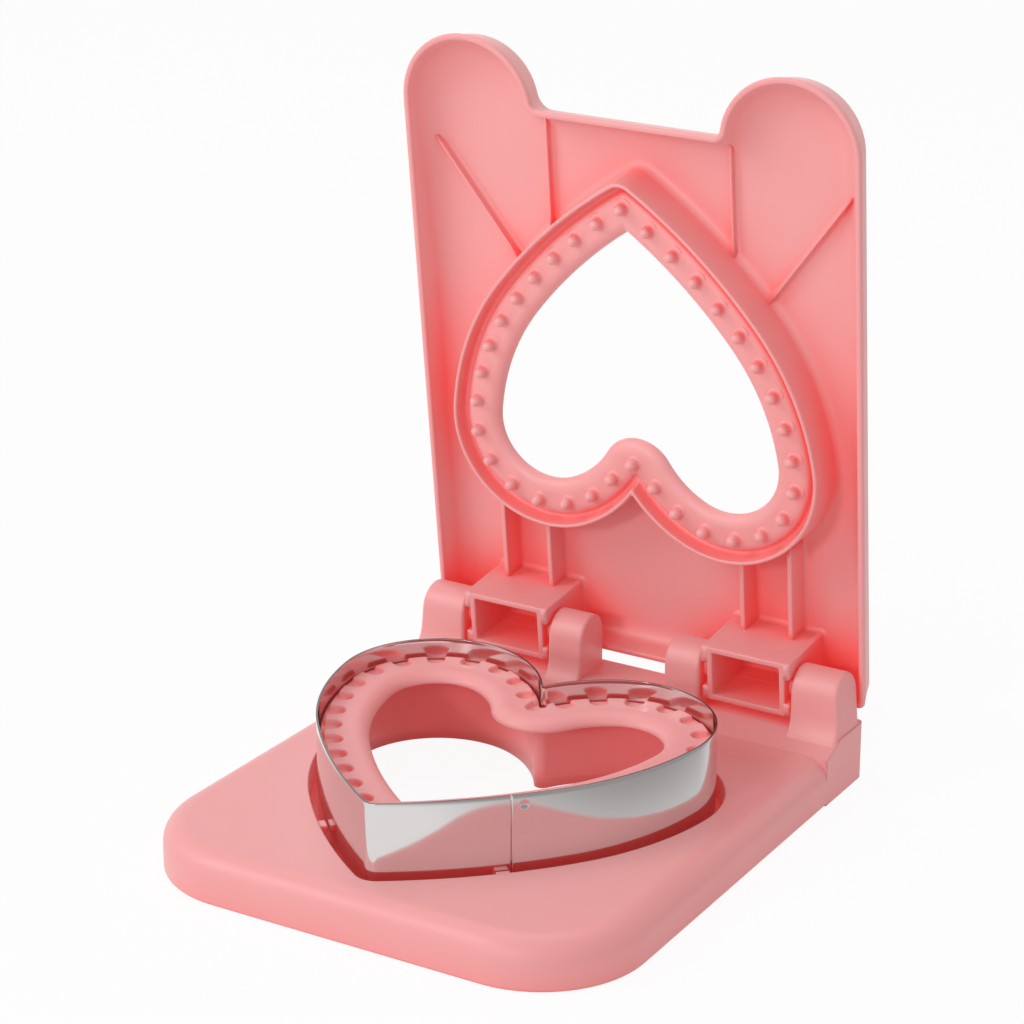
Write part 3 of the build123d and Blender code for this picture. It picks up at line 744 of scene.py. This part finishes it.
def pad_grid(low, high, side):
    """U-shaped pad: outer edge and slot edge share one run, and rounded edges join them to both faces."""
    share = np.linspace(0, 1, 61)
    low_h, high_h, front_n = box_h[0] + 0.02, box_h[1] - 0.02, box_front_n - 0.02
    corners = [(low_h, front_n), (low_h, floor_n - 0.4), (high_h, floor_n - 0.4), (high_h, front_n)]
    outer = np.stack([np.interp(share, (0, 0.32, 0.68, 1), [c[k] for c in corners]) for k in (0, 1)], 1)
    bend = np.radians(np.interp(share, (0.2, 0.8), (161, 379)))
    seat = np.stack([seat_radius * np.cos(bend), seat_radius * np.sin(bend)], 1)
    rise = np.interp(share, (0, 0.2, 0.8, 1), (1, 0, 0, 1))[:, None]
    sign = np.where(share < 0.5, -1.0, 1.0)[:, None]
    mouth = np.hstack([sign * mouth_half, np.full((61, 1), front_n)])
    slot = seat + (mouth - seat) * rise
    span = np.linalg.norm(slot - outer, axis=1)[:, None]
    turned = [(pad_round * (1 - np.cos(a)), pad_round * (1 - np.sin(a))) for a in quarter(0, 90, 5)]
    rows = [(c, high - s, 0) for c, s in turned] + [(s, high - c, 1) for c, s in turned]
    rows += [(c, low + s, 1) for c, s in turned] + [(s, low + c, 0) for c, s in turned]
    grid = []
    for drawn, x, from_slot in rows:
        f = drawn / span
        f = 1 - f if from_slot else f
        flat = outer + (slot - outer) * f
        grid.append(lid_space(side * x, flat[:, 0], flat[:, 1]))
    grid = np.stack(grid).transpose(1, 0, 2)
    ends = [np.broadcast_to(grid[k].mean(0), grid[k].shape) for k in (0, -1)]
    return np.concatenate([ends[0][None], grid, ends[1][None]]), False, True


for side in (1, -1):
    lid_grids.append(box_grid(box_x, box_h, side))
    lid_grids.append(fillet_bead((box_x[0] - pad_thickness, box_x[1] + pad_thickness), box_h, side))
    lid_grids.append(pad_grid(box_x[0] - pad_thickness, box_x[0] + 0.7, side))
    lid_grids.append(pad_grid(box_x[1] - 0.7, box_x[1] + pad_thickness, side))

# Ribs of the lid: two deep ones from each hinge box to the press ring, and low ones from the
# ring to the top edge and to the side walls.


def rib_grid(start, end, height, half, flare, slant):
    """Straight rib in section: a hollow flare from the floor, a flank, and a rounded crest.

    Its far end is cut at a slant, which is the end's advance for each millimetre across the rib.
    """
    line = [(half + flare * (1 - np.sin(a)), flare * (1 - np.cos(a)) - 0.015) for a in quarter(0, 90, 8)]
    line = [(half + flare + 0.5, -0.5), (half + flare + 0.5, -0.05), (half + flare + 0.25, -0.03)] + line
    line += [(half - 0.3 * (1 - np.cos(a)), height - 0.3 * (1 - np.sin(a))) for a in quarter(0, 90, 5)]
    right = np.array(line)
    section = np.vstack([right, right[::-1] * (-1, 1)])
    start, end = np.array(start), np.array(end)
    run = (end - start) / np.linalg.norm(end - start)
    across = np.array([run[1], -run[0]])
    places = start + (end - start) * np.linspace(0, 1, 9)[:, None]
    flat = places[:, None, :] + across * section[None, :, :1]
    flat[-1] += run * slant * section[:, :1]
    grid = lid_space(flat[..., 0], flat[..., 1], floor_n + section[None, :, 1])
    ends = [np.broadcast_to(grid[k].mean(0), grid[k].shape) for k in (0, -1)]
    return np.concatenate([ends[0][None], grid, ends[1][None]]), False, True


# Start and end on the lid, height, half thickness, flare at the foot and slant of the end.
ribs = [
    ((26.1, 6.0), (26.1, 26.4), 6.8, 0.6, 1.0, 0.1),
    ((38.6, 6.0), (38.6, 31.6), 6.8, 0.6, 1.0, 0.74),
    ((23.7, 98.6), (23.7, 126.0), 1.9, 0.32, 0.9, 0.0),
    ((53.4, 117.0), (32.5, 89.2), 2.2, 0.32, 0.9, 0.0),
]
for start, end, height, half, flare, slant in ribs:
    for side in (1, -1):
        ends = (side * start[0], start[1]), (side * end[0], end[1])
        lid_grids.append(rib_grid(*ends, height, half, flare, side * slant))

lid_plastic = moulded_plastic("lid_plastic", coral, deep_coral, 0.0, 0.016, 0.06, 0.76, 0.08)
piece("eared_lid", lid_grids, lid_plastic, "lid", "lid")
